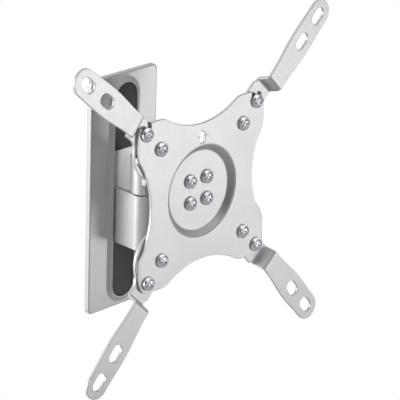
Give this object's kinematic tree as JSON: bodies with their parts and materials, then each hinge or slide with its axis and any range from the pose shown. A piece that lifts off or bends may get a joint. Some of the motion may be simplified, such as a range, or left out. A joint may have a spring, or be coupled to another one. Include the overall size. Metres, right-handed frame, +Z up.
{
  "type": "swivel tv wall mount",
  "caption": "Compact swivelling and tilting wall mount for a flat screen, with a pressed wall plate, a toothed hinge, a dished head plate and slotted bent arms.",
  "frame": {"origin": "centre of the wall plate's back face, on the wall", "axes": "+Y into the wall, -Y towards the screen, +Z up, +X to the right as seen from the room"},
  "size_m": [0.2286, 0.0888, 0.225],
  "materials": {
    "paint": "silver-grey powder coat, satin",
    "black_plastic": "fine-grained matte",
    "zinc": "bright zinc plate",
    "black_oxide": "black oxide",
    "nylon": "natural nylon"
  },
  "bodies": {
    "wall": {"wall_plate": "paint", "cover_upper": "black_plastic", "cover_lower": "black_plastic", "hinge_bracket": "paint", "bracket_rivet_1": "paint", "bracket_rivet_2": "paint", "bracket_rivet_3": "paint", "bracket_rivet_4": "paint", "swivel_bolt": "black_oxide", "swivel_washer_top": "zinc", "swivel_washer_bottom": "zinc", "swivel_nut": "zinc", "sleeve_lower": "nylon"},
    "swivel": {"knuckle": "paint", "sleeve_upper": "nylon"},
    "head": {"tilt_yoke": "paint", "tilt_bolt": "zinc", "tilt_nut": "zinc", "tilt_washer": "zinc", "friction_washer_left": "nylon", "friction_washer_right": "nylon", "end_cap_left": "black_plastic", "end_cap_right": "black_plastic", "head_plate": "paint", "dish_screw_tl": "zinc", "dish_screw_tr": "zinc", "dish_screw_bl": "zinc", "dish_screw_br": "zinc", "pivot_screw_tl": "zinc", "pivot_screw_tr": "zinc", "pivot_screw_bl": "zinc", "pivot_screw_br": "zinc", "pivot_nut_tl": "zinc", "pivot_nut_tr": "zinc", "pivot_nut_bl": "zinc", "pivot_nut_br": "zinc", "clamp_screw_tl": "zinc", "clamp_screw_tr": "zinc", "clamp_screw_bl": "zinc", "clamp_screw_br": "zinc", "clamp_washer_tl": "zinc", "clamp_washer_tr": "zinc", "clamp_washer_bl": "zinc", "clamp_washer_br": "zinc", "clamp_nut_tl": "zinc", "clamp_nut_tr": "zinc", "clamp_nut_bl": "zinc", "clamp_nut_br": "zinc"},
    "arm_tl": {"arm_tl": "paint"},
    "arm_tr": {"arm_tr": "paint"},
    "arm_bl": {"arm_bl": "paint"},
    "arm_br": {"arm_br": "paint"}
  },
  "joints": [
    {"name": "swivel", "type": "hinge", "parent": "wall", "child": "swivel", "pos_m": [0, -0.0235, 0], "axis": [0, 0, 1], "range_deg": [-30, 30]},
    {"name": "tilt", "type": "hinge", "parent": "swivel", "child": "head", "pos_m": [0, -0.0555, 0.02035], "axis": [1, 0, 0], "range_deg": [-12.6, 17.4]},
    {"name": "arm_turn_tl", "type": "hinge", "parent": "head", "child": "arm_tl", "pos_m": [-0.0375, -0.07341, 0.05863], "axis": [0, -0.9991, 0.0419], "range_deg": [-55.2, 2.8]},
    {"name": "arm_turn_tr", "type": "hinge", "parent": "head", "child": "arm_tr", "pos_m": [0.0375, -0.07341, 0.05863], "axis": [0, -0.9991, 0.0419], "range_deg": [-5.2, 52.8]},
    {"name": "arm_turn_bl", "type": "hinge", "parent": "head", "child": "arm_bl", "pos_m": [-0.0375, -0.07655, -0.0163], "axis": [0, -0.9991, 0.0419], "range_deg": [-8.3, 49.7]},
    {"name": "arm_turn_br", "type": "hinge", "parent": "head", "child": "arm_br", "pos_m": [0.0375, -0.07655, -0.0163], "axis": [0, -0.9991, 0.0419], "range_deg": [-46.3, 11.7]}
  ]
}
